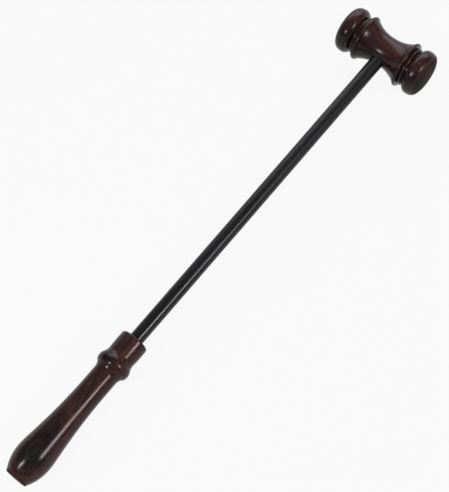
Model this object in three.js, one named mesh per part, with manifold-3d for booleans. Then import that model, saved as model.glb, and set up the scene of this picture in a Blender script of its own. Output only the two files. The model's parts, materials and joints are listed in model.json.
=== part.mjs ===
// Long handled judge gavel: a turned hardwood head and grip on a slim ebonised shaft.
// Units are millimetres and +Z is up. The gavel lies as it does on a table, on the crests of
// its two knobs and on the belly of its grip, with the shaft along +Y towards the head.
// The origin is on the table, under the middle of the gavel.

import * as THREE from 'three';
import { mergeVertices, toCreasedNormals } from 'three/addons/utils/BufferGeometryUtils.js';
import Module from 'manifold-3d';

const wasm = await Module();
wasm.setup();

// Shaft: a straight rod that shows between the grip's top and the head
const shaftRadius = 5.45;
const shaftReach = 301.8; // from the grip's top to the head's own axis
const shaftChamfer = 0.8; // broken edge of the end that sits in the grip

// Head: one spindle turning, given here from the middle of the waist outwards
const waistRadius = 12.1;
const flareLength = 17.6;
const flareRadius = 17.15;
const flarePower = 2.25; // 1 would be a straight cone, more leaves the waist slim for longer
const quirkWidth = 0.45; // the fine cut that sets the rim bead off from the flare
const quirkDepth = 0.55;
const rimWidth = 3.1;
const rimRootRadius = 16.9;
const rimRadius = 18.65;
const rimWallRun = 0.35; // the steep wall from the rim down into the groove
const beadWidth = 2.9;
const beadRootRadius = 14.1;
const beadRadius = 15.9;
const neckWidth = 1.0; // the bare ring between the small bead and the knob
const neckRadius = 13.4;
const knobRadius = 18.72;
const knobBack = 5.1; // from the neck to the knob's crest
const knobFront = 9.05; // from the knob's crest to the middle of its striking face
const knobFullness = 3; // 2 is an ellipse, more is a flatter face with a rounder edge

// Grip: one spindle turning, given here from the butt upwards
const gripLength = 126.6;
const buttRadius = 8.55;
const buttEdge = 0.3; // the broken edge round the flat butt
const bellyRadius = 13.86;
const bellyHeight = 19.5; // from the butt to the widest place
const buttOutShare = 0.09; // how far out the rise aims as it leaves the butt
const buttUpShare = 0.075; // and how far up
const bellyShare = 0.61; // how much of the rise runs level into the belly
const handNeckRadius = 9.7;
const handNeckHeight = 83.8; // from the butt to where the long taper ends
const taperLeaveShare = 0.12; // how much of the taper runs level out of the belly
const taperArriveShare = 0.56; // how much of it runs level into the neck
const coveRun = 4.8; // the hollow that rises from the neck to the bead
const coveRadius = 9;
const gripBeadWidth = 8.6;
const gripBeadRadius = 13.05;
const gripBeadRootRadius = 10.65;
const collarCoveRun = 2.9; // the small hollow between the bead and the collar
const collarCoveShare = 0.7; // how much of it runs level into the collar's foot
const collarFootRadius = 10.7;
const collarRadius = 10.95; // at the collar's slight swell
const collarLength = 16.7; // from the small hollow under it to the grip's top
const collarEdge = 1.5; // radius of its rounded top edge

// Joints
const glueGap = 0.3; // room left all round a seated piece
const socketDepth = 46; // how deep the shaft sits in the grip
const drillPointHalfAngle = THREE.MathUtils.degToRad(59);
const kerfDepth = 16; // saw cut in the shaft's head end, from the head's far side
const kerfWidth = 1.6;
const mouthSpread = 0.95; // how far each half of the tenon is driven aside at the far side
const pinRadius = 1.5;
const pinDrop = 9; // from the grip's top down to the cross pin

// Cutters run past the faces that they cut by this much
const overrun = 4;

// Faces round each turning, a multiple of four so that a corner lies straight below the axis
const headSides = 48;
const gripSides = 40;
const shaftSides = 32;
const pinSides = 20;

// Two corners closer than this are one corner
const mergeDistance = 1e-4;
const creaseAngle = THREE.MathUtils.degToRad(35);

// Finishes
const rosewood = { color: 0x3b1c17, roughness: 0.28, metalness: 0 };
const ebonised = { color: 0x16171b, roughness: 0.42, metalness: 0 };
const wedgeWood = { color: 0x5a3526, roughness: 0.45, metalness: 0 };

// A closed geometry becomes a solid that can be cut and joined.
function toSolid(geometry) {
  const plain = geometry.clone();
  plain.deleteAttribute('normal');
  plain.deleteAttribute('uv');
  const merged = mergeVertices(plain, mergeDistance);
  const corners = merged.index.array;
  const triangles = [];
  for (let i = 0; i < corners.length; i += 3) {
    const [a, b, c] = [corners[i], corners[i + 1], corners[i + 2]];
    if (a !== b && b !== c && c !== a) triangles.push(a, b, c);
  }
  return new wasm.Manifold(new wasm.Mesh({
    numProp: 3,
    vertProperties: new Float32Array(merged.attributes.position.array),
    triVerts: new Uint32Array(triangles),
  }));
}

// A solid becomes a geometry again.
function toGeometry(solid) {
  const mesh = solid.getMesh();
  const geometry = new THREE.BufferGeometry();
  geometry.setAttribute('position', new THREE.BufferAttribute(mesh.vertProperties, 3));
  geometry.setIndex(new THREE.BufferAttribute(mesh.triVerts, 1));
  return geometry;
}

// Profile points are (radius, place along the axis). Each function below adds one cut of the lathe.
const point = (radius, along) => new THREE.Vector2(radius, along);

// The numbers from 0 to 1 in equal steps, both ends included
const steps = (count) => Array.from({ length: count + 1 }, (_, i) => i / count);

// A rounded bead standing on a root radius
function bead(start, width, rootRadius, crestRadius, count) {
  return steps(count).map((t) => point(
    rootRadius + (crestRadius - rootRadius) * Math.sin(Math.PI * t),
    start + width * (1 - Math.cos(Math.PI * t)) / 2,
  ));
}

// A hollow that leaves one radius level and rises along an arc
function cove(start, run, fromRadius, arcRadius, count) {
  return steps(count).map((t) => point(
    fromRadius + arcRadius - Math.sqrt(arcRadius ** 2 - (run * t) ** 2),
    start + run * t,
  ));
}

// A quarter of a superellipse, from its crest to where it meets the axis or a root radius
function quarter(crestAlong, run, rootRadius, crestRadius, fullness, count) {
  return steps(count).map((t) => {
    const turn = Math.PI / 2 * t;
    return point(
      rootRadius + (crestRadius - rootRadius) * Math.cos(turn) ** (2 / fullness),
      crestAlong + run * Math.sin(turn) ** (2 / fullness),
    );
  });
}

// A smooth run between two places, level at the ends that the shares name
function ease(from, to, leaveShare, arriveShare, count) {
  const span = to.y - from.y;
  return new THREE.CubicBezierCurve(
    from,
    point(from.x, from.y + span * leaveShare),
    point(to.x, to.y - span * arriveShare),
    to,
  ).getPoints(count);
}

// One side of the head, from the middle of the waist to the middle of the striking face
function headHalfProfile() {
  const flare = steps(8).map((t) => point(
    waistRadius + (flareRadius - waistRadius) * t ** flarePower,
    flareLength * t,
  ));
  const quirk = point(flareRadius - quirkDepth, flareLength + quirkWidth / 2);
  const rimStart = flareLength + quirkWidth;
  const rim = bead(rimStart, rimWidth, rimRootRadius, rimRadius, 7);
  const beadStart = rimStart + rimWidth + rimWallRun;
  const smallBead = bead(beadStart, beadWidth, beadRootRadius, beadRadius, 5);
  const neckStart = beadStart + beadWidth;
  const neck = [point(neckRadius, neckStart), point(neckRadius, neckStart + neckWidth)];
  const crest = neckStart + neckWidth + knobBack;
  const back = quarter(crest, -knobBack, neckRadius, knobRadius, 2, 5).reverse().slice(1);
  const face = quarter(crest, knobFront, 0, knobRadius, knobFullness, 10).slice(1);
  return [...flare, quirk, ...rim, ...smallBead, ...neck, ...back, ...face];
}

// The whole head before it is bored, with its own axis along X
function headBlank() {
  const half = headHalfProfile();
  const otherHalf = half.slice(1).reverse().map((p) => point(p.x, -p.y));
  const geometry = new THREE.LatheGeometry([...otherHalf, ...half], headSides);
  return toSolid(geometry.rotateZ(-Math.PI / 2).translate(0, shaftReach, 0));
}

// The grip's outline from the middle of the butt to the middle of its top
function gripProfile() {
  const butt = -gripLength;
  const belly = point(bellyRadius, butt + bellyHeight);
  const handNeck = point(handNeckRadius, butt + handNeckHeight);
  const rise = new THREE.CubicBezierCurve(
    point(buttRadius, butt + buttEdge),
    point(
      buttRadius + (bellyRadius - buttRadius) * buttOutShare,
      butt + bellyHeight * buttUpShare,
    ),
    point(bellyRadius, belly.y - bellyHeight * bellyShare),
    belly,
  ).getPoints(8);
  const taper = ease(belly, handNeck, taperLeaveShare, taperArriveShare, 11).slice(1);
  const collarFoot = -collarLength;
  const beadStart = collarFoot - collarCoveRun - gripBeadWidth;
  const hollow = cove(beadStart - coveRun, coveRun, handNeckRadius, coveRadius, 4);
  const ring = bead(beadStart, gripBeadWidth, gripBeadRootRadius, gripBeadRadius, 8);
  const foot = point(collarFootRadius, collarFoot);
  const collarCove = ease(ring.at(-1), foot, 0, collarCoveShare, 3).slice(1);
  const collar = new THREE.QuadraticBezierCurve(
    foot,
    point(2 * collarRadius - collarFootRadius, -collarLength / 2),
    point(collarRadius, -collarEdge),
  ).getPoints(4).slice(1);
  const edge = quarter(-collarEdge, collarEdge, collarRadius - collarEdge, collarRadius, 2, 3).slice(1);
  return [
    point(0, butt), point(buttRadius - buttEdge, butt), ...rise, ...taper,
    ...hollow, ...ring, ...collarCove, ...collar, ...edge, point(0, 0),
  ];
}

// A plain rod on the shaft's axis, with a row of corners at each place given
function rod(radius, places) {
  const rows = places.map((along) => point(radius, along));
  return new THREE.LatheGeometry(
    [point(0, places[0]), ...rows, point(0, places.at(-1))],
    shaftSides,
  );
}

// Where the shaft's own pieces begin and end along Y
const farFace = shaftReach + waistRadius;
const kerfStart = farFace - kerfDepth;
const shaftEnd = farFace + overrun;
const boreRadius = shaftRadius + glueGap;

// How far the wedge has driven the tenon aside at a place along Y
const spreadAt = (along) => mouthSpread * Math.max(0, along - kerfStart) / kerfDepth;

// Each corner is moved across the shaft, to the place that its own X and Y give.
function moveAcross(geometry, newX) {
  const place = geometry.attributes.position;
  for (let i = 0; i < place.count; i += 1) {
    place.setX(i, newX(place.getX(i), place.getY(i)));
  }
  return geometry;
}

// The head's bore, round where the shaft enters and reamed oval towards the far side
function headBore() {
  const geometry = rod(boreRadius, [shaftReach - flareRadius, kerfStart, shaftEnd]);
  return toSolid(moveAcross(geometry, (x, y) => x * (1 + spreadAt(y) / boreRadius)));
}

// The two halves of the tenon beside the saw kerf, driven apart by the wedge
function splitTenon() {
  const kerf = new THREE.BoxGeometry(kerfWidth, kerfDepth * 3, shaftRadius * 3);
  kerf.translate(0, farFace, 0);
  const halves = toSolid(rod(shaftRadius, [kerfStart, shaftEnd])).subtract(toSolid(kerf));
  return toSolid(moveAcross(toGeometry(halves), (x, y) => x + Math.sign(x) * spreadAt(y)));
}

// Everything up to the head's axis, and beyond it only what lies inside the head's own surface
function flushTrim(blank) {
  const reach = shaftReach + gripLength;
  const below = new THREE.BoxGeometry(waistRadius, reach, waistRadius * 2);
  below.translate(0, shaftReach - reach / 2, 0);
  return blank.add(toSolid(below));
}

// The cross pin's hole or, with no room round it, the pin itself
function crossPin(radius, length) {
  const geometry = new THREE.CylinderGeometry(radius, radius, length, pinSides);
  return toSolid(geometry.rotateZ(Math.PI / 2).translate(0, -pinDrop, 0));
}

function makeHead(blank) {
  return blank.subtract(headBore());
}

function makeShaft(trim) {
  const bottom = glueGap - socketDepth;
  const body = new THREE.LatheGeometry([
    point(0, bottom),
    point(shaftRadius - shaftChamfer, bottom),
    point(shaftRadius, bottom + shaftChamfer),
    point(shaftRadius, kerfStart),
    point(0, kerfStart),
  ], shaftSides);
  return toSolid(body).add(splitTenon()).intersect(trim)
    .subtract(crossPin(pinRadius + glueGap, shaftRadius * 3));
}

function makeWedge(trim) {
  const halfThickness = (along) => kerfWidth / 2 + spreadAt(along) - glueGap;
  const tip = kerfStart + glueGap;
  const outline = new THREE.Shape([
    point(-halfThickness(tip), tip),
    point(halfThickness(tip), tip),
    point(halfThickness(shaftEnd), shaftEnd),
    point(-halfThickness(shaftEnd), shaftEnd),
  ]);
  const width = shaftRadius * 2;
  const geometry = new THREE.ExtrudeGeometry(outline, { depth: width, bevelEnabled: false });
  return toSolid(geometry.translate(0, 0, -width / 2)).intersect(trim);
}

function makeGrip() {
  const blank = toSolid(new THREE.LatheGeometry(gripProfile(), gripSides));
  const drillPoint = boreRadius / Math.tan(drillPointHalfAngle);
  const bore = new THREE.LatheGeometry([
    point(0, -socketDepth - drillPoint),
    point(boreRadius, -socketDepth),
    point(boreRadius, overrun),
    point(0, overrun),
  ], shaftSides);
  return blank.subtract(toSolid(bore))
    .subtract(crossPin(pinRadius + glueGap, collarRadius * 3));
}

function makeGripPin() {
  return crossPin(pinRadius, 2 * Math.sqrt(collarRadius ** 2 - pinRadius ** 2));
}

// The tilt at which the grip's belly and the knobs' crests touch the table together: for each
// place on the grip, the angle that would bring it down to the table, and the smallest one counts.
function restTilt() {
  return Math.min(...gripProfile().map((p) => {
    const reach = shaftReach - p.y;
    return Math.asin(knobRadius / Math.hypot(reach, p.x)) - Math.atan2(p.x, reach);
  }));
}

const gavel = new THREE.Group();

function addPiece(name, solid, finish) {
  // Smooth round the turning and crisp at its edges
  const geometry = toCreasedNormals(toGeometry(solid), creaseAngle);
  const piece = new THREE.Mesh(geometry, new THREE.MeshStandardMaterial(finish));
  piece.name = name;
  gavel.add(piece);
}

const blank = headBlank();
const trim = flushTrim(blank);
addPiece('head', makeHead(blank), rosewood);
addPiece('shaft', makeShaft(trim), ebonised);
addPiece('tenon_wedge', makeWedge(trim), wedgeWood);
addPiece('grip', makeGrip(), rosewood);
addPiece('grip_pin', makeGripPin(), rosewood);

// Laid down on the table, with the middle of its box over the origin
const part = new THREE.Group();
gavel.rotation.x = restTilt();
part.add(gavel);
part.updateMatrixWorld(true);
const box = new THREE.Box3().setFromObject(part, true);
gavel.position.set(0, -(box.min.y + box.max.y) / 2, -box.min.z);

export default part;
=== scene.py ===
# %% [markdown]
# # A long handled gavel
#
# This notebook dresses a gavel whose solid model is already finished. The model says where
# every piece is and how big it is, to a fraction of a millimetre. Blender's part is the look:
# round surfaces that are truly round, varnish, grain, and the light that shows them.
#
# The gavel lies on a table. Y runs along its shaft towards the head, X along the head, and Z up.
# Blender counts in metres. Wood turners don't, so sizes here are in millimetres and are turned
# into metres once, when the points of a mesh are made.

# %% Load the solid model
import json
import math

import bpy
from mathutils import Matrix, Vector

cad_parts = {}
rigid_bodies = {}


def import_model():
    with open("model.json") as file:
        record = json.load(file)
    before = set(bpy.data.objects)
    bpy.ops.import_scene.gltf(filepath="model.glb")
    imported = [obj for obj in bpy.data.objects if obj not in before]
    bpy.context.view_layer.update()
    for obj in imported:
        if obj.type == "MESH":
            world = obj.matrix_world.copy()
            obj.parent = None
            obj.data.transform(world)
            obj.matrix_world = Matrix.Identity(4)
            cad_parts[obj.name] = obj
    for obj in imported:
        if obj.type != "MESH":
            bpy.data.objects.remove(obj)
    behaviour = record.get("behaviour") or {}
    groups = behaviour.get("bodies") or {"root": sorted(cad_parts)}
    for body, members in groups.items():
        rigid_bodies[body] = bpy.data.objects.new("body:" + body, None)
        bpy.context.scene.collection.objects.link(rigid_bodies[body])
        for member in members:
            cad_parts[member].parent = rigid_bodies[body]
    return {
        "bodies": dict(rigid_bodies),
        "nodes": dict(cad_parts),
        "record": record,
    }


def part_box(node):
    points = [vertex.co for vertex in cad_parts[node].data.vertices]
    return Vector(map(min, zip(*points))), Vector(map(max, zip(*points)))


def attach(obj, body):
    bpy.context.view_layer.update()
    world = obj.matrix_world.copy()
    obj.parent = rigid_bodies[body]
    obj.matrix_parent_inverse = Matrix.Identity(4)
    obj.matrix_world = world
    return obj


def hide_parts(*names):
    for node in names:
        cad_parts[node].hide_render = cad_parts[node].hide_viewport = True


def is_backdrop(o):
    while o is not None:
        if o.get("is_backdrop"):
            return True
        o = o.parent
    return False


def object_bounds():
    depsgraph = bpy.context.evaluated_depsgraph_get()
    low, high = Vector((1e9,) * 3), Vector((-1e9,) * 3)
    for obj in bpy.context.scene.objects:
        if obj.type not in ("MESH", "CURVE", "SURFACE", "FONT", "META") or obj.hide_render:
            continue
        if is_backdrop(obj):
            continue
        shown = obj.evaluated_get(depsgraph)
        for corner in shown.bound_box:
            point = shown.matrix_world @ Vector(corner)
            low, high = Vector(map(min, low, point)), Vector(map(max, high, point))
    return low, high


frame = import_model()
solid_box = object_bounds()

MM = 0.001
body = list(frame["bodies"])[0]
print("pieces of the solid model:", ", ".join(sorted(frame["nodes"])), "on the body", body)

# %% [markdown]
# ## Where the shaft's axis lies
#
# A gavel on a table isn't level: its head is thicker than its grip, so the shaft slopes a little.
# Everything on a turned piece is measured along and away from its own axis, so the first job is
# to find that axis. Two points fix it. One is the middle of the flat butt, which the model's
# record states as a mount. The other is the middle of the head, which is the middle of its box.
#
# Each piece then gets its own frame: the Z axis runs along its grain, as a piece of wood is held
# between the centres of a lathe. Blender's Object coordinates follow that frame, so a grain
# pattern made later runs the right way on each piece without any further work.

# %% Find the shaft's axis
mounts = {mount["name"]: mount for mount in frame["record"]["mounts"]}
butt_middle = Vector(mounts["butt_face"]["pos_m"])
head_low, head_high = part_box("head")
head_middle = (Vector(head_low) + Vector(head_high)) / 2

shaft_way = (head_middle - butt_middle).normalized()
head_way = Vector((1, 0, 0))
upper_way = head_way.cross(shaft_way)
butt_to_head = (head_middle - butt_middle).length / MM


def grain_frame(x_way, y_way, z_way, middle):
    """The place and turn of a piece whose grain runs along its own Z."""
    return Matrix.Translation(middle) @ Matrix((x_way, y_way, z_way)).transposed().to_4x4()


shaft_frame = grain_frame(upper_way, head_way, shaft_way, butt_middle)
head_frame = grain_frame(shaft_way, upper_way, head_way, head_middle)
print("butt to head: %.1f mm" % butt_to_head)
print("slope of the shaft: %.2f degrees" % math.degrees(math.asin(shaft_way.z)))

# %% [markdown]
# ## Drawing outlines as a turner cuts them
#
# A turner makes a spindle from a few kinds of cut: a bead stands up round, a cove is hollow, a
# quirk is a fine groove that sets two shapes apart. So an outline here is a list of cuts, each a
# list of points (radius, place along the axis). A spline drawn by eye could make the same
# outline, but it would ripple, and varnish shows every ripple as a bent highlight. A formula
# for each cut keeps the surface fair between its ends.

# %% The turner's cuts
ROUND = 2


def shares(count):
    """Numbers from 0 to 1 in equal steps, both ends included."""
    return [i / count for i in range(count + 1)]


def bead(start, width, root, crest, count, fullness=ROUND):
    """A round that stands up from a root radius to a crest radius. More fullness than ROUND
    flattens its crest, as sandpaper does."""
    points = []
    for t in shares(count):
        turn = math.pi * t
        along = math.copysign(abs(math.cos(turn)) ** (2 / fullness), math.cos(turn))
        points.append((root + (crest - root) * math.sin(turn) ** (2 / fullness),
                       start + width * (1 - along) / 2))
    return points


def cove(start, run, root, arc, count):
    """A hollow that leaves the root radius level and rises along an arc."""
    return [(root + arc - math.sqrt(arc ** 2 - (run * t) ** 2), start + run * t)
            for t in shares(count)]


def quarter(crest_at, run, root, crest, fullness, count):
    """A quarter of a superellipse, from its crest to the root radius."""
    points = []
    for t in shares(count):
        turn = math.pi / 2 * t
        radius = root + (crest - root) * max(math.cos(turn), 0) ** (2 / fullness)
        points.append((radius, crest_at + run * math.sin(turn) ** (2 / fullness)))
    return points


def curve(handles, count):
    """A Bezier curve from its first handle to its last, pulled by those between."""
    points = []
    for t in shares(count):
        row = [Vector(handle) for handle in handles]
        while len(row) > 1:
            row = [low.lerp(high, t) for low, high in zip(row, row[1:])]
        points.append(tuple(row[0]))
    return points


# %% [markdown]
# ## Spinning an outline into a mesh
#
# Blender's Screw modifier spins an outline too. Making the rings directly is as short and leaves
# no doubt about the ends: where the outline meets the axis, the ring shrinks to one point and is
# closed with a fan. Edges sharper than a set angle are marked, so that beads shade round and
# arrises stay crisp.

# %% The lathe
CREASE = math.radians(32)
ON_THE_AXIS = 1e-6                          # a radius below this is a point on the axis


def smooth(piece):
    """Shade a piece round everywhere but at its true edges."""
    piece.data.shade_smooth()
    piece.data.set_sharp_from_angle(angle=CREASE)
    return piece


def spin(name, outline, sides, placed):
    """A closed turned piece from an outline in millimetres along the Z axis of its frame."""
    points, rings = [], []
    for radius, along in outline:
        count = 1 if radius < ON_THE_AXIS else sides
        rings.append(range(len(points), len(points) + count))
        for i in range(count):
            turn = 2 * math.pi * i / sides
            points.append(Vector((radius * math.cos(turn), radius * math.sin(turn), along)) * MM)
    faces = []
    for low, high in zip(rings, rings[1:]):
        for i in range(sides):
            j = (i + 1) % sides
            face = [low[i % len(low)], low[j % len(low)], high[j % len(high)], high[i % len(high)]]
            faces.append(tuple(dict.fromkeys(face)))
    return add_piece(name, points, faces, placed)


def add_piece(name, points, faces, placed):
    """A new object from points in metres in its own frame."""
    mesh = bpy.data.meshes.new(name)
    mesh.from_pydata(points, [], faces)
    mesh.update()
    piece = bpy.data.objects.new(name, mesh)
    piece.matrix_world = placed
    bpy.context.scene.collection.objects.link(piece)
    return smooth(piece)


# %% [markdown]
# ## The head
#
# The head is one piece of hardwood. From the middle outwards it has a slim waist that flares up,
# a fine quirk, a rim bead, a groove with a small bead in it, and a domed knob that does the
# striking. The other side mirrors it. The sizes repeat the solid model's own, and the outline
# only has more points, so the smooth head lies on the faceted one. A sanded bead isn't a true
# half round: sandpaper flattens its crest. The rim bead and the small bead are made fuller for it.

# %% Sizes of the head
waist_radius = 12.1
flare_length = 17.6
flare_radius = 17.15
flare_power = 2.25
quirk_width = 0.45
quirk_depth = 0.55
rim_width = 3.1
rim_root = 16.9
rim_radius = 18.65
rim_wall = 0.35
bead_width = 2.9
bead_root = 14.1
bead_radius = 15.9
neck_width = 1.0
neck_radius = 13.4
knob_radius = 18.72
knob_back = 5.1
knob_front = 9.05
knob_fullness = 3
sanded_fullness = 2.5

# %% Turn the head
HEAD_SIDES = 144
FLARE_STEPS = 32
BEAD_STEPS = 24
KNOB_BACK_STEPS = 16
KNOB_FACE_STEPS = 44


def head_half():
    """The outline from the middle of the waist to the middle of the striking face."""
    flare = [(waist_radius + (flare_radius - waist_radius) * t ** flare_power, flare_length * t)
             for t in shares(FLARE_STEPS)]
    quirk = [(flare_radius - quirk_depth, flare_length + quirk_width / 2)]
    rim_start = flare_length + quirk_width
    rim = bead(rim_start, rim_width, rim_root, rim_radius, BEAD_STEPS, sanded_fullness)
    bead_start = rim_start + rim_width + rim_wall
    small_bead = bead(bead_start, bead_width, bead_root, bead_radius, BEAD_STEPS,
                      sanded_fullness)
    neck_start = bead_start + bead_width
    neck = [(neck_radius, neck_start), (neck_radius, neck_start + neck_width)]
    crest = neck_start + neck_width + knob_back
    back = quarter(crest, -knob_back, neck_radius, knob_radius, ROUND, KNOB_BACK_STEPS)
    face = quarter(crest, knob_front, 0, knob_radius, knob_fullness, KNOB_FACE_STEPS)
    return flare + quirk + rim + small_bead + neck + back[::-1][1:] + face[1:]


half = head_half()
whole = [(radius, -along) for radius, along in reversed(half[1:])] + half
head = spin("head_turning", whole, HEAD_SIDES, head_frame)
print("head: %d rings of %d corners" % (len(whole), HEAD_SIDES))

# %% [markdown]
# ## The grip
#
# The grip is turned the same way. Its outline runs from the flat butt up through the swelling
# belly, a long taper, a hollow, a bead and a plain collar. The bead isn't the same on both sides:
# it meets the hollow in a crisp corner, and runs out softly into the collar, where a broad sheen
# lies on it. So the back of the bead is cut off short, and a Bezier curve goes on from there.
# The solid model has a small hollow at that place. There, and nowhere else, the smooth grip
# stands about a millimetre proud of the solid one.
#
# A turner drills the socket for the shaft on the lathe as well, so the outline simply carries
# on: over the collar's top, down the inside of the socket, and into the cone that the drill's
# point leaves.

# %% Sizes of the grip
grip_length = 126.6
butt_radius = 8.55
butt_edge = 0.3
belly_radius = 13.86
belly_height = 19.5
butt_out_share = 0.09
butt_up_share = 0.075
belly_share = 0.61
hand_neck_radius = 9.7
hand_neck_height = 83.8
taper_leave_share = 0.12
taper_arrive_share = 0.56
cove_run = 4.8
cove_arc = 9
ring_width = 8.6
ring_radius = 13.05
ring_root = 10.65
ring_kept = 0.82
collar_cove_run = 2.9
collar_foot_radius = 10.7
collar_foot_rise = 1.2
run_out_handle = 1.6
run_out_lift = 0.1
collar_radius = 10.95
collar_length = 16.7
collar_edge = 1.5

# %% Sizes of the shaft and its seats
# The hairline is the air between pieces that touch, so that their surfaces stay apart.
shaft_radius = 5.45
socket_depth = 46
hairline = 0.06
mouth_edge = 0.25
drill_half_angle = math.radians(59)

# %% Turn the grip
GRIP_SIDES = 120
RISE_STEPS = 30
TAPER_STEPS = 40
COVE_STEPS = 12
RING_STEPS = 36
RUN_OUT_STEPS = 14
COLLAR_STEPS = 16
EDGE_STEPS = 8


def grip_outline():
    """The outline from the middle of the butt, over the collar and down into the socket."""
    rise = curve([
        (butt_radius, butt_edge),
        (butt_radius + (belly_radius - butt_radius) * butt_out_share,
         belly_height * butt_up_share),
        (belly_radius, belly_height * (1 - belly_share)),
        (belly_radius, belly_height)], RISE_STEPS)
    taper_run = hand_neck_height - belly_height
    taper = curve([
        (belly_radius, belly_height),
        (belly_radius, belly_height + taper_run * taper_leave_share),
        (hand_neck_radius, hand_neck_height - taper_run * taper_arrive_share),
        (hand_neck_radius, hand_neck_height)], TAPER_STEPS)[1:]
    foot = grip_length - collar_length
    ring_start = foot - collar_cove_run - ring_width
    hollow = cove(ring_start - cove_run, cove_run, hand_neck_radius, cove_arc, COVE_STEPS)
    whole_ring = bead(ring_start, ring_width, ring_root, ring_radius, RING_STEPS)
    ring = [point for point in whole_ring if point[1] < ring_start + ring_width * ring_kept]
    way_out = (Vector(ring[-1]) - Vector(ring[-2])).normalized()
    run_out = curve([
        ring[-1],
        Vector(ring[-1]) + way_out * run_out_handle,
        (collar_foot_radius + run_out_lift, foot - run_out_handle),
        (collar_foot_radius, foot + collar_foot_rise)], RUN_OUT_STEPS)[1:]
    collar = curve([
        (collar_foot_radius, foot + collar_foot_rise),
        (2 * collar_radius - collar_foot_radius, grip_length - collar_length / 2),
        (collar_radius, grip_length - collar_edge)], COLLAR_STEPS)[1:]
    edge = quarter(grip_length - collar_edge, collar_edge, collar_radius - collar_edge,
                   collar_radius, ROUND, EDGE_STEPS)[1:]
    return ([(0, 0), (butt_radius - butt_edge, 0)] + rise + taper + hollow + ring
            + run_out + collar + edge)


def socket_outline():
    """The outline from the socket's mouth to the point that the drill left."""
    bore = shaft_radius + hairline
    bottom = grip_length - socket_depth
    return [(bore + mouth_edge, grip_length), (bore, grip_length - mouth_edge), (bore, bottom),
            (0, bottom - bore / math.tan(drill_half_angle))]


grip = spin("grip_turning", grip_outline() + socket_outline(), GRIP_SIDES, shaft_frame)
grip_blank = spin("grip_blank", grip_outline() + [(0, grip_length)], GRIP_SIDES, shaft_frame)
print("grip: %.1f mm long, %.1f mm across its belly" % (grip_length, 2 * belly_radius))

# %% [markdown]
# ## The shaft and how the head is held
#
# The head is held the way an axe is. The shaft goes right through a bore in the head. Its end is
# sawn down the middle, a wedge is driven into the saw cut, and the two halves spread until they
# jam in the bore, which was filed wider towards the far side. Then the end is trimmed flush.
#
# Blender's Boolean modifier does the sawing. A mesh made by hand would need its corners placed
# along every meeting line, and the modifier finds those lines by itself. It is applied at once,
# so that only the cut piece is left.

# %% Cutting one piece with another
def cut(piece, tool, way):
    """Change a piece by a tool: way is DIFFERENCE or INTERSECT."""
    step = piece.modifiers.new("cut", "BOOLEAN")
    step.operation = way
    step.solver = "EXACT"
    step.object = tool
    graph = bpy.context.evaluated_depsgraph_get()
    done = bpy.data.meshes.new_from_object(piece.evaluated_get(graph))
    piece.modifiers.remove(step)
    done.name = piece.name
    piece.data = done
    return smooth(piece)


def block(name, low, high, placed, taper=None):
    """A block between two corners in millimetres. The taper makes its far end thicker along Y."""
    points = []
    for z in (low[2], high[2]):
        extra = taper if taper and z == high[2] else 0
        for y in (low[1] - extra, high[1] + extra):
            for x in (low[0], high[0]):
                points.append(Vector((x, y, z)) * MM)
    faces = [(0, 2, 3, 1), (4, 5, 7, 6), (0, 1, 5, 4), (2, 6, 7, 3), (0, 4, 6, 2), (1, 3, 7, 5)]
    return add_piece(name, points, faces, placed)


def discard(*tools):
    """Clear a tool away once its cuts are made."""
    for tool in tools:
        bpy.data.objects.remove(tool)


# %% Sizes of the wedged joint
kerf_depth = 16
kerf_width = 1.6
mouth_spread = 0.95
past = 3                                    # how far a tool reaches past what it cuts
saw_reach = 9                               # half the width of the blocks that saw and trim
far_face = butt_to_head + waist_radius
kerf_start = far_face - kerf_depth
shaft_end = far_face + past


def spread_at(along):
    """How far the wedge has driven each half of the tenon aside, in millimetres."""
    return mouth_spread * max(0, along - kerf_start) / kerf_depth


def spread(piece, move):
    """Push a piece's corners aside past the bottom of the saw cut."""
    for corner in piece.data.vertices:
        corner.co.y += move(corner.co.y / MM, spread_at(corner.co.z / MM)) * MM


# %% Turn the shaft, saw its end and spread it
SHAFT_SIDES = 96
ON_THE_CUT = 1e-4                           # corners this near the middle stay where they are
seat = 0.3
seat_edge = 0.8
shaft_start = grip_length - socket_depth + seat
shaft = spin("shaft_rod", [
    (0, shaft_start), (shaft_radius - seat_edge, shaft_start),
    (shaft_radius, shaft_start + seat_edge), (shaft_radius, kerf_start),
    (shaft_radius, shaft_end), (0, shaft_end)], SHAFT_SIDES, shaft_frame)
kerf = block("kerf", (-saw_reach, -kerf_width / 2, kerf_start),
             (saw_reach, kerf_width / 2, shaft_end + past), shaft_frame)
cut(shaft, kerf, "DIFFERENCE")
spread(shaft, lambda y, push: math.copysign(push, y) if abs(y) > ON_THE_CUT else 0)
discard(kerf)

# %% Bore the head
def bore_tool(name, radius):
    """A rod that turns oval towards the head's far side, as the tenon does when it spreads."""
    tool = spin(name, [(0, butt_to_head - flare_radius), (radius, butt_to_head - flare_radius),
                       (radius, kerf_start), (radius, shaft_end), (0, shaft_end)],
                SHAFT_SIDES, shaft_frame)
    spread(tool, lambda y, push: y * push / radius)
    return tool


offcut = block("offcut", (-saw_reach, -saw_reach, butt_to_head),
               (saw_reach, saw_reach, far_face + 2 * past), shaft_frame)
cut(offcut, head, "DIFFERENCE")
bore = bore_tool("bore", shaft_radius + hairline)
cut(head, bore, "DIFFERENCE")
cut(shaft, offcut, "DIFFERENCE")

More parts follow.
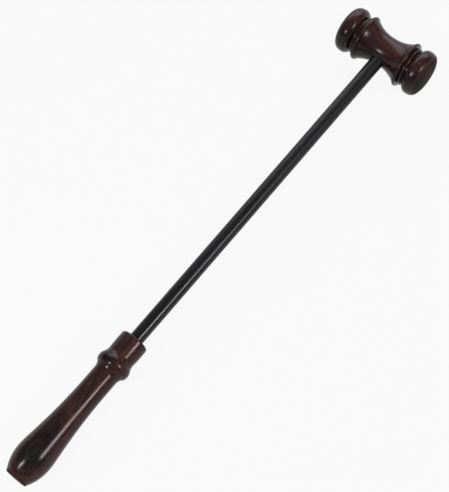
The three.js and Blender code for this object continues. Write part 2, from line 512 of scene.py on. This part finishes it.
# %% Drive the wedge and trim it flush
wedge_room = kerf_width / 2 - hairline
wedge_tip = kerf_start + seat
wedge_end = shaft_end - hairline
tip_half = wedge_room + spread_at(wedge_tip)
wedge = block("wedge", (-saw_reach, -tip_half, wedge_tip), (saw_reach, tip_half, wedge_end),
              shaft_frame, spread_at(wedge_end) - spread_at(wedge_tip))
core = bore_tool("core", shaft_radius)
cut(wedge, core, "INTERSECT")
cut(wedge, offcut, "DIFFERENCE")
discard(bore, core, offcut)
print("wedge: %.2f mm thick where it shows" % (2 * (wedge_room + spread_at(far_face))))

# %% [markdown]
# ## The cross pin
#
# Glue alone would do for the grip, and a pin makes it safe: a thin dowel right through the collar
# and the shaft. Its ends are sanded flush, so they follow the collar's round. Crossing a plain
# rod with the grip's blank gives that end shape exactly.

# %% Drill for the pin and trim it flush
pin_radius = 1.5
pin_drop = 9
PIN_SIDES = 48
pin_middle = shaft_frame @ Vector((0, 0, (grip_length - pin_drop) * MM))
pin_frame = grain_frame(shaft_way, upper_way, head_way, pin_middle)


def pin_rod(name, radius):
    """A plain rod across the collar, longer than the collar is wide."""
    reach = collar_radius + past
    return spin(name, [(0, -reach), (radius, -reach), (radius, reach), (0, reach)],
                PIN_SIDES, pin_frame)


drill = pin_rod("pin_drill", pin_radius)
cut(grip, drill, "DIFFERENCE")
cut(shaft, drill, "DIFFERENCE")
pin = pin_rod("pin", pin_radius - hairline / 2)
cut(pin, grip_blank, "INTERSECT")
discard(drill, grip_blank)

# %% [markdown]
# ## Handing the pieces over
#
# Each smooth piece stands for one node of the solid model. The node stays for the physics and is
# hidden, and the piece rides on the same body.

# %% Hand the pieces over
dressed = [
    (head, "head", "rosewood"),
    (shaft, "shaft", "ebonised_wood"),
    (wedge, "tenon_wedge", "wedge_wood"),
    (grip, "grip", "rosewood"),
    (pin, "grip_pin", "rosewood"),
]
for piece, node, finish in dressed:
    piece.data.transform(piece.matrix_world)
    piece.matrix_world = Matrix.Identity(4)
    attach(piece, body)
    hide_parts(node)
    print("%-14s %6d faces, stands for %s" % (piece.name, len(piece.data.polygons), node))

# %% [markdown]
# ## Making wood from a tree
#
# Wood grain isn't a pattern laid on a surface. It runs through the whole piece, and the lathe
# only uncovers it. So the wood here is made in three dimensions from how a tree grows: rings
# round a heart, fibres and pores along the trunk. Where a turned belly swells out of the plank it
# uncovers deeper rings, which is why its figure closes into long pointed ovals, and on a cut end
# the same rings show as arcs. An image texture would have to fake both.
#
# A small helper keeps the node trees readable: it adds a node, sets it, and feeds its inputs.

# %% A helper for node trees
def put(tree, kind, feeds=(), **settings):
    """Add a shader node. Feeds are pairs of an input and a number, colour or other output."""
    made = tree.nodes.new("ShaderNode" + kind)
    for name, value in settings.items():
        setattr(made, name, value)
    for name, value in feeds:
        if isinstance(value, bpy.types.NodeSocket):
            tree.links.new(value, made.inputs[name])
        else:
            made.inputs[name].default_value = value
    return made


def maths(tree, work, *values, clamp=False):
    """One sum of a node tree, such as MULTIPLY."""
    return put(tree, "Math", enumerate(values), operation=work, use_clamp=clamp).outputs[0]


def noise(tree, where, stretch, detail, rough=0.5, offset=(0, 0, 0)):
    """Noise with a stretch for each axis, in waves per millimetre."""
    moved = put(tree, "Mapping", [("Vector", where), ("Scale", stretch), ("Location", offset)])
    return put(tree, "TexNoise", [("Vector", moved.outputs[0]), ("Scale", 1.0),
                                  ("Detail", detail), ("Roughness", rough)]).outputs["Fac"]


def window(tree, value, low, high, to_low=0.0, to_high=1.0):
    """Fade from one number to another while a value goes from low to high."""
    return put(tree, "MapRange", [("Value", value), ("From Min", low), ("From Max", high),
                                  ("To Min", to_low), ("To Max", to_high)],
               interpolation_type="SMOOTHSTEP").outputs[0]


def ramp(tree, value, stops):
    """A colour ramp from pairs of a place and a colour."""
    made = put(tree, "ValToRGB", [("Fac", value)])
    bar = made.color_ramp
    bar.elements[0].position, bar.elements[1].position = stops[0][0], stops[-1][0]
    bar.elements[0].color, bar.elements[1].color = (*stops[0][1], 1), (*stops[-1][1], 1)
    for place, colour in stops[1:-1]:
        bar.elements.new(place).color = (*colour, 1)
    return made.outputs["Color"]


def blend_colours(tree, share, first, second):
    """Two colours mixed by a share."""
    made = put(tree, "Mix", data_type="RGBA")
    for name, value in (("Factor", share), ("A", first), ("B", second)):
        socket = next(s for s in made.inputs if s.name == name and s.enabled)
        if isinstance(value, bpy.types.NodeSocket):
            tree.links.new(value, socket)
        else:
            socket.default_value = (*value, 1)
    return next(s for s in made.outputs if s.enabled)


def new_material(name, placed):
    """A material with its node tree, its shader, and millimetres along the frame of its piece."""
    material = bpy.data.materials.new(name)
    material.use_nodes = True
    tree = material.node_tree
    shader = tree.nodes["Principled BSDF"]
    place = put(tree, "TexCoord").outputs["Object"]
    back = placed.inverted()
    in_mm = put(tree, "Mapping", [("Vector", place), ("Scale", (1 / MM, 1 / MM, 1 / MM)),
                                  ("Rotation", back.to_euler()),
                                  ("Location", back.translation / MM)]).outputs[0]
    return material, tree, shader, in_mm


# %% [markdown]
# ## Rosewood
#
# The head and grip are a dark reddish brown hardwood. Broad veins run from nearly black to
# fox red, and between them are fine growth lines and short dark pores.
#
# The first job is a number for every point of the wood: how far it lies from the tree's heart.
# No tree grows in perfect circles, so a slow noise bends the rings. A trunk leans a little, so
# the heart isn't parallel to the piece, and a vein that shows at one end may run out before the
# other. A trunk is also bowed, and that is why a long pointed patch closes again in the belly
# of the grip. A sine along the grain is enough for the bow.

# %% Rosewood: how far a point lies from the tree's heart
def bend_rings(tree, in_mm, seed):
    """The point, pushed aside by a slow noise across the grain."""
    slow = put(tree, "Mapping", [("Vector", in_mm), ("Scale", (0.045, 0.045, 0.012)),
                                 ("Location", (seed, seed * 1.7, 0))])
    bend = put(tree, "TexNoise", [("Vector", slow.outputs[0]), ("Scale", 1.0), ("Detail", 3.0)])
    push = put(tree, "VectorMath", [(0, bend.outputs["Color"]), (1, (0.5, 0.5, 0.5))],
               operation="SUBTRACT").outputs[0]
    return put(tree, "VectorMath", [(0, push), (1, (6.0, 6.0, 0.0)), (2, in_mm)],
               operation="MULTIPLY_ADD").outputs[0]


def from_heart(tree, bent, along, heart, lean, bow):
    """Millimetres from the heart of the tree. The heart is where its middle lay, in the piece's
    own X and Y. The lean is how far it moves for each millimetre along the grain, and the bow is
    how far it swings out along X, and over what length."""
    turn = maths(tree, "MULTIPLY", along, math.pi / bow[1])
    swing = maths(tree, "MULTIPLY", maths(tree, "SINE", turn), bow[0])
    start = put(tree, "CombineXYZ", [("X", maths(tree, "ADD", swing, heart[0])),
                                     ("Y", heart[1])]).outputs[0]
    drift = put(tree, "VectorMath", [(0, (*lean, 0.0)), ("Scale", along)],
                operation="SCALE").outputs[0]
    middle = put(tree, "VectorMath", [(0, start), (1, drift)], operation="ADD").outputs[0]
    away = put(tree, "VectorMath", [(0, bent), (1, middle)], operation="SUBTRACT").outputs[0]
    flat = put(tree, "VectorMath", [(0, away), (1, (1.0, 1.0, 0.0))],
               operation="MULTIPLY").outputs[0]
    return put(tree, "VectorMath", [(0, flat)], operation="LENGTH").outputs["Value"]


# %% [markdown]
# ## Rosewood's colour and varnish
#
# The distance from the heart picks the vein from a colour ramp. Growth lines follow the rings,
# so they are a noise of the distance alone. Streaks follow the fibres, so they are a noise
# stretched along the grain. The two are multiplied onto the vein's colour.
#
# The varnish is thin and rubbed down, so it is the shader's own gloss rather than a second coat.
# Rosewood's own colour glows through it, which is why its highlights are pinkish. Blows have
# worn the gloss off the two striking faces, so there the roughness goes up. End grain drinks
# more of the finish than side grain, so the butt, the collar's top and those faces are duller.
# Their colour is also darker: partly end grain's own tone, and partly painted shade on the
# butt's rounded edge and on the striking faces.

# %% Rosewood: colour
BLACK_VEIN = (0.0138, 0.0091, 0.0094)
DARK_WOOD = (0.0234, 0.0119, 0.0118)
BROWN_WOOD = (0.0363, 0.0171, 0.0164)
RED_WOOD = (0.0538, 0.0208, 0.0166)
PORE = (0.0070, 0.0047, 0.0047)
PORE_DEPTH = 0.75                           # how much of a pore's colour shows
GROWTH_LINES = 1.35                         # waves of the growth lines per millimetre


def vein_colour(tree, ring, veins, span):
    """The colour of a vein. Veins are pairs of a distance from the heart and a colour."""
    first, last = span
    place = maths(tree, "DIVIDE", maths(tree, "SUBTRACT", ring, first), last - first, clamp=True)
    return ramp(tree, place, [((at - first) / (last - first), colour) for at, colour in veins])


def fine_lines(tree, ring, streaks, figure):
    """How much the growth lines and streaks lighten or darken the wood."""
    waves = maths(tree, "MULTIPLY", ring, GROWTH_LINES)
    lines = put(tree, "TexNoise", [("W", waves), ("Scale", 1.0), ("Detail", 3.0),
                                   ("Roughness", 0.62)],
                noise_dimensions="1D").outputs["Fac"]
    line_shade = window(tree, lines, 0.36, 0.62, 1 - 0.5 * figure, 1 + 0.35 * figure)
    streak_shade = window(tree, streaks, 0.34, 0.66, 1 - 0.45 * figure, 1 + 0.5 * figure)
    return maths(tree, "MULTIPLY", line_shade, streak_shade)


# %% Rosewood: end grain, darkened partly by painted shade
END_GRAIN_FADE = 1.0                        # millimetres from side grain to full end grain
# How dark the end grain is made: partly its own tone, partly painted shade on the butt's edge and
# the striking faces.
END_GRAIN_AND_PAINTED_SHADE = 0.6


def end_grain(tree, along, side_grain):
    """1 past either end of the side grain, and 0 between the two ends."""
    low, high = side_grain
    near = window(tree, along, low - END_GRAIN_FADE, low, 1.0, 0.0)
    far = window(tree, along, high, high + END_GRAIN_FADE, 0.0, 1.0)
    return maths(tree, "MAXIMUM", near, far)


# %% Rosewood: varnish
CLOSED_GRAIN, OPEN_GRAIN = 0.16, 0.24       # roughness of the film over each
DULLNESS = 0.6                              # roughness that wear and end grain add
WEAR_FADE = 3.5


def varnish(tree, shader, in_mm, along, streaks, pores, ends, worn_past):
    """A rubbed film: duller over open grain, on end grain and where it is worn, and sunk a little
    at the pores."""
    gloss = window(tree, streaks, 0.3, 0.7, CLOSED_GRAIN, OPEN_GRAIN)
    worn = window(tree, maths(tree, "ABSOLUTE", along), worn_past, worn_past + WEAR_FADE,
                  0.0, DULLNESS)
    dull = maths(tree, "MAXIMUM", worn, window(tree, ends, 0.0, 1.0, 0.0, DULLNESS))
    tree.links.new(maths(tree, "ADD", gloss, dull), shader.inputs["Roughness"])
    shader.inputs["Specular IOR Level"].default_value = 0.21
    shader.inputs["Specular Tint"].default_value = (1.0, 0.84, 0.85, 1)
    wave = noise(tree, in_mm, (0.3, 0.3, 0.08), 2.0)
    film = maths(tree, "SUBTRACT", wave, maths(tree, "MULTIPLY", pores, 0.25))
    relief = put(tree, "Bump", [("Height", film), ("Strength", 0.3), ("Distance", 0.05 * MM)])
    tree.links.new(relief.outputs[0], shader.inputs["Normal"])


# %% Rosewood: the whole finish
NOWHERE = 1000.0                            # a place along the grain that no piece reaches


def rosewood(name, placed, heart, lean, bow, veins, span, figure, seed,
             side_grain=(-NOWHERE, NOWHERE), worn_past=NOWHERE):
    """Varnished rosewood. The figure is the strength of its fine lines. The side grain lies
    between two places along the grain. Past worn_past, either way, use has worn the gloss off."""
    material, tree, shader, in_mm = new_material(name, placed)
    along = put(tree, "SeparateXYZ", [(0, in_mm)]).outputs["Z"]
    bent = bend_rings(tree, in_mm, seed)
    ring = from_heart(tree, bent, along, heart, lean, bow)
    streaks = noise(tree, bent, (0.75, 0.75, 0.05), 5.0, 0.65, (seed, 0, 0))
    ends = end_grain(tree, along, side_grain)
    # Grain lines, and the end grain darkened partly as painted shade.
    shade = maths(tree, "MULTIPLY", fine_lines(tree, ring, streaks, figure),
                  window(tree, ends, 0.0, 1.0, 1.0, END_GRAIN_AND_PAINTED_SHADE))
    toned = put(tree, "VectorMath", [(0, vein_colour(tree, ring, veins, span)), ("Scale", shade)],
                operation="SCALE").outputs[0]
    pores = window(tree, noise(tree, in_mm, (3.6, 3.6, 0.22), 2.0, 0.5, (0, seed, 0)), 0.58, 0.68)
    colour = blend_colours(tree, maths(tree, "MULTIPLY", pores, PORE_DEPTH), toned, PORE)
    tree.links.new(colour, shader.inputs["Base Color"])
    varnish(tree, shader, in_mm, along, streaks, pores, ends, worn_past)
    return material


# %% Rosewood for the grip
grip_wood = rosewood(
    "rosewood_grip", shaft_frame, heart=(-30.6, -5.9), lean=(0.0, 0.15), bow=(-2.0, 100.0),
    veins=[(14, RED_WOOD), (18, DARK_WOOD), (22, RED_WOOD), (26, BROWN_WOOD), (31, DARK_WOOD),
           (35, BROWN_WOOD), (38.2, BROWN_WOOD), (39.6, RED_WOOD), (41.3, BROWN_WOOD),
           (42.2, BROWN_WOOD), (43.3, DARK_WOOD), (44.3, BLACK_VEIN), (47, BLACK_VEIN)],
    span=(10, 48), figure=0.7, seed=3.0, side_grain=(1.6, grip_length - 0.8))

# %% Rosewood for the head
head_wood = rosewood(
    "rosewood_head", head_frame, heart=(42.6, 14.4), lean=(0.02, 0.0), bow=(-3.5, 36.0),
    veins=[(24, DARK_WOOD), (30, BROWN_WOOD), (36, DARK_WOOD), (41, BROWN_WOOD), (45, RED_WOOD),
           (48, BROWN_WOOD), (52, BROWN_WOOD), (54.5, DARK_WOOD), (57, BLACK_VEIN),
           (60, DARK_WOOD), (66, BLACK_VEIN)],
    span=(22, 68), figure=0.45, seed=8.0, side_grain=(-37.0, 37.0), worn_past=34.5)

# %% Rosewood for the pin
pin_wood = rosewood(
    "rosewood_pin", pin_frame, heart=(-14.0, 5.0), lean=(0.0, 0.0), bow=(0.0, 30.0),
    veins=[(10, DARK_WOOD), (15, BROWN_WOOD), (20, DARK_WOOD)],
    span=(9, 21), figure=0.7, seed=5.0)

# %% [markdown]
# ## Ebonised wood
#
# The shaft is stained black and rubbed to a satin. Stain doesn't hide the grain: fibres stand a
# little proud in the relief, and their fine pale streaks and specks are painted into the colour
# as painted glints, where the proud fibres would catch the light. Near the grip, where a hand
# slides, the satin is polished by use, so its gloss falls off slowly along the shaft.

# %% Ebonised wood
POLISHED, SATIN = 0.23, 0.37                # roughness near the grip and near the head
SATIN_FROM_HEAD = 60                        # where the polish has faded out, from the head


def ebonised(name):
    """Black stained wood with a satin that is polished towards the grip."""
    material, tree, shader, in_mm = new_material(name, shaft_frame)
    fibres = noise(tree, in_mm, (1.9, 1.9, 0.035), 4.0, 0.65)
    specks = noise(tree, in_mm, (2.6, 2.6, 0.5), 3.0, 0.6, (0, 4.0, 0))
    # Painted glints: the colour is lighter along the fibres and specks, where proud fibres would
    # catch the light.
    painted_fibre_glints = maths(tree, "MULTIPLY", window(tree, fibres, 0.42, 0.7),
                 window(tree, specks, 0.4, 0.65, 0.35, 1.0))
    colour = ramp(tree, painted_fibre_glints, [(0.0, (0.0066, 0.0062, 0.0074)), (0.5, (0.0136, 0.0125, 0.0147)),
                               (1.0, (0.028, 0.027, 0.028))])
    tree.links.new(colour, shader.inputs["Base Color"])
    along = put(tree, "SeparateXYZ", [(0, in_mm)]).outputs["Z"]
    polish = window(tree, along, grip_length, butt_to_head - SATIN_FROM_HEAD, POLISHED, SATIN)
    rough = maths(tree, "ADD", polish, window(tree, fibres, 0.35, 0.7, -0.03, 0.07))
    tree.links.new(rough, shader.inputs["Roughness"])
    height = maths(tree, "ADD", fibres, maths(tree, "MULTIPLY", specks, 0.6))
    relief = put(tree, "Bump", [("Height", height), ("Strength", 0.5), ("Distance", 0.05 * MM)])
    tree.links.new(relief.outputs[0], shader.inputs["Normal"])
    shader.inputs["Specular IOR Level"].default_value = 0.27
    return material


shaft_wood = ebonised("ebonised_shaft")

# %% [markdown]
# ## The wedge's wood
#
# The wedge is a plainer, lighter hardwood, and only its end shows. Its rings are nearly straight
# across so small a piece, and the pores show as dots because they are cut across.

# %% The wedge's wood
def wedge_finish(name):
    """Mid brown hardwood seen on its end."""
    material, tree, shader, in_mm = new_material(name, shaft_frame)
    rings = noise(tree, in_mm, (0.5, 3.0, 0.02), 3.0, 0.6)
    dots = window(tree, noise(tree, in_mm, (7.0, 7.0, 0.1), 1.0), 0.6, 0.68)
    colour = ramp(tree, rings, [(0.3, (0.055, 0.024, 0.013)), (0.7, (0.13, 0.062, 0.034))])
    dotted = blend_colours(tree, dots, colour, (0.02, 0.009, 0.005))
    tree.links.new(dotted, shader.inputs["Base Color"])
    tree.links.new(window(tree, rings, 0.3, 0.7, 0.4, 0.5), shader.inputs["Roughness"])
    shader.inputs["Coat Weight"].default_value = 1.0
    shader.inputs["Coat Roughness"].default_value = 0.12
    relief = put(tree, "Bump", [("Height", rings), ("Strength", 0.3), ("Distance", 0.05 * MM)])
    tree.links.new(relief.outputs[0], shader.inputs["Normal"])
    return material


wedge_wood = wedge_finish("wedge_hardwood")

# %% Put the finishes on
for piece, wood in ((head, head_wood), (grip, grip_wood), (pin, pin_wood),
                    (shaft, shaft_wood), (wedge, wedge_wood)):
    piece.data.materials.clear()
    piece.data.materials.append(wood)
    print("%-14s is finished in %s" % (piece.name, wood.name))

# %% [markdown]
# ## The table
#
# The gavel lies on a plain pale table. A photographer lights such a table until it reads as
# white in the picture. Here the camera sees the table mixed with plain white, so its shadows
# turn faint without extra light falling on the gavel. The varnish has to mirror the same table
# that the camera sees, so mirrored rays and rays through glass get the same mix. Only soft
# light, which is what falls on the gavel, sees the table's own colour.

# %% The table
TABLE_REACH = 4.0
TABLE_GREY = 0.35
WHITE_SHARE = 0.92


def seen_directly(tree):
    """1 for rays from the camera, off a mirror or through glass, and 0 for soft light."""
    path = put(tree, "LightPath")
    mirrored = maths(tree, "MAXIMUM", path.outputs["Is Glossy Ray"],
                     path.outputs["Is Transmission Ray"])
    return maths(tree, "MAXIMUM", path.outputs["Is Camera Ray"], mirrored)


def white_table():
    """A matt table, white where it is seen directly."""
    material = bpy.data.materials.new("table_white")
    material.use_nodes = True
    tree = material.node_tree
    shader = tree.nodes["Principled BSDF"]
    place = put(tree, "TexCoord").outputs["Object"]
    tooth = put(tree, "TexNoise", [("Vector", place), ("Scale", 400.0),
                                   ("Detail", 2.0)]).outputs["Fac"]
    tree.links.new(window(tree, tooth, 0.3, 0.7, 0.82, 0.94), shader.inputs["Roughness"])
    shader.inputs["Base Color"].default_value = (TABLE_GREY, TABLE_GREY, TABLE_GREY, 1)
    shader.inputs["Specular IOR Level"].default_value = 0.1
    glow = put(tree, "Emission", [("Color", (1, 1, 1, 1)), ("Strength", 1.0)])
    white = maths(tree, "MULTIPLY", seen_directly(tree), WHITE_SHARE)
    mixed = put(tree, "MixShader", [(0, white), (1, shader.outputs[0]), (2, glow.outputs[0])])
    tree.links.new(mixed.outputs[0], tree.nodes["Material Output"].inputs["Surface"])
    return material


corners = [Vector((x, y, 0)) * TABLE_REACH for x, y in ((-1, -1), (1, -1), (1, 1), (-1, 1))]
table = add_piece("table", corners, [(0, 1, 2, 3)], Matrix.Identity(4))
table.data.materials.append(white_table())
table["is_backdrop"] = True

# %% [markdown]
# ## The room
#
# Behind the table hangs a white backdrop, all round and up to a little above the horizon. The
# camera sees it in low views, and the varnish mirrors it like the table. Over it the room is
# dim. What lights the gavel are lamps, and what the varnish mirrors between them stays deep.

# %% The room
BACKDROP = 0.925
BACKDROP_TOP = 0.1                          # heights run from 0, level, to 1, straight up
BACKDROP_FADE = 0.1
WALLS = 0.06
WALLS_TOP = 0.15
CEILING = 0.2
CEILING_FROM = 0.75


def dim_room():
    """A dim room over a white backdrop that is seen directly and in mirrors."""
    world = bpy.data.worlds.new("studio")
    world.use_nodes = True
    tree = world.node_tree
    way = put(tree, "TexCoord").outputs["Generated"]
    height = put(tree, "SeparateXYZ", [(0, way)]).outputs["Z"]
    level = window(tree, height, WALLS_TOP, CEILING_FROM, WALLS, CEILING)
    backdrop = window(tree, height, BACKDROP_TOP, BACKDROP_TOP + BACKDROP_FADE, BACKDROP, 0.0)
    white = maths(tree, "MULTIPLY", backdrop, seen_directly(tree))
    strength = maths(tree, "MAXIMUM", level, white)
    background = tree.nodes["Background"]
    background.inputs["Color"].default_value = (1, 1, 1, 1)
    tree.links.new(strength, background.inputs["Strength"])
    return world


bpy.context.scene.world = dim_room()

# %% [markdown]
# ## The lamps
#
# Two softboxes and a pale card. Their places come from the highlights: a mirror shows a lamp
# where the surface leans halfway between the lamp and the eye. The long line on the grip
# asks for a softbox to the right, the spots on the waist and the beads for a smaller one
# at the lower left, and the broad pinkish sheen on the far sides for a card beyond them.
#
# That sheen has no edge, so the card can't have one either. A lamp's own nodes know where on
# its face a ray leaves, and a fade from the middle out makes the card soft.

# %% The lamps
def softbox(name, place, aim, width, height, level, colour=(1, 1, 1)):
    """An area lamp, placed and sized in metres. The level is how bright its face looks, where
    1 is white."""
    lamp = bpy.data.lights.new(name, "AREA")
    lamp.shape = "RECTANGLE"
    lamp.size, lamp.size_y = width, height
    lamp.energy = level * math.pi * width * height
    lamp.color = colour
    made = bpy.data.objects.new(name, lamp)
    made.location = place
    made.rotation_euler = (Vector(place) - Vector(aim)).to_track_quat("Z", "Y").to_euler()
    bpy.context.scene.collection.objects.link(made)
    return made


def soften(made, core):
    """Let a lamp fade from a core, as a share of its half width, to nothing at its edge."""
    made.data.use_nodes = True
    tree = made.data.node_tree
    across = put(tree, "NewGeometry").outputs["Parametric"]
    from_middle = put(tree, "VectorMath", [(0, across), (1, (0.5, 0.5, 0.0))],
                      operation="DISTANCE").outputs["Value"]
    tree.links.new(window(tree, from_middle, core / 2, 0.5, 1.0, 0.0),
                   tree.nodes["Emission"].inputs["Strength"])


softbox("softbox_right", place=(1.08, 0.19, 0.97), aim=(0, 0, 0),
        width=0.42, height=0.37, level=20.9)
softbox("softbox_left", place=(-0.17, -0.51, 0.56), aim=(0, 0.1, 0),
        width=0.07, height=0.2, level=56)
card = softbox("card_back", place=(-0.5, 0.95, 0.55), aim=(0.18, 0.22, 0),
               width=2.25, height=1.0, level=3.5, colour=(1.0, 0.955, 1.05))
soften(card, core=0.4)

# %% [markdown]
# ## The camera
#
# The camera looks down at about 66 degrees, from beside the gavel. A long lens stands well back,
# so the near end isn't swollen.

# %% The camera
AIM = Vector((4.98, -1.71, 18.72)) * MM
AZIMUTH = math.radians(40.741)
ELEVATION = math.radians(66.065)
ROLL = math.radians(2.2587)
DISTANCE = 974.37 * MM
SENSOR = 36
FOCAL_LENGTH = 97.934

lens = bpy.data.cameras.new("camera")
lens.sensor_fit = "VERTICAL"
lens.sensor_height = SENSOR
lens.lens = FOCAL_LENGTH
camera = bpy.data.objects.new("camera", lens)
bpy.context.scene.collection.objects.link(camera)
back = Vector((math.sin(AZIMUTH) * math.cos(ELEVATION),
               -math.cos(AZIMUTH) * math.cos(ELEVATION),
               math.sin(ELEVATION)))
camera.location = AIM + back * DISTANCE
level_turn = back.to_track_quat("Z", "Y").to_matrix()
camera.rotation_euler = (level_turn @ Matrix.Rotation(-ROLL, 3, "Z")).to_euler()
bpy.context.scene.camera = camera
bpy.context.scene.view_settings.view_transform = "Standard"

# %% Compare the sizes and finish
visual_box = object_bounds()
for name, box in (("solid", solid_box), ("visual", visual_box)):
    print(name, "box in mm:", [[round(part / MM, 2) for part in corner] for corner in box])
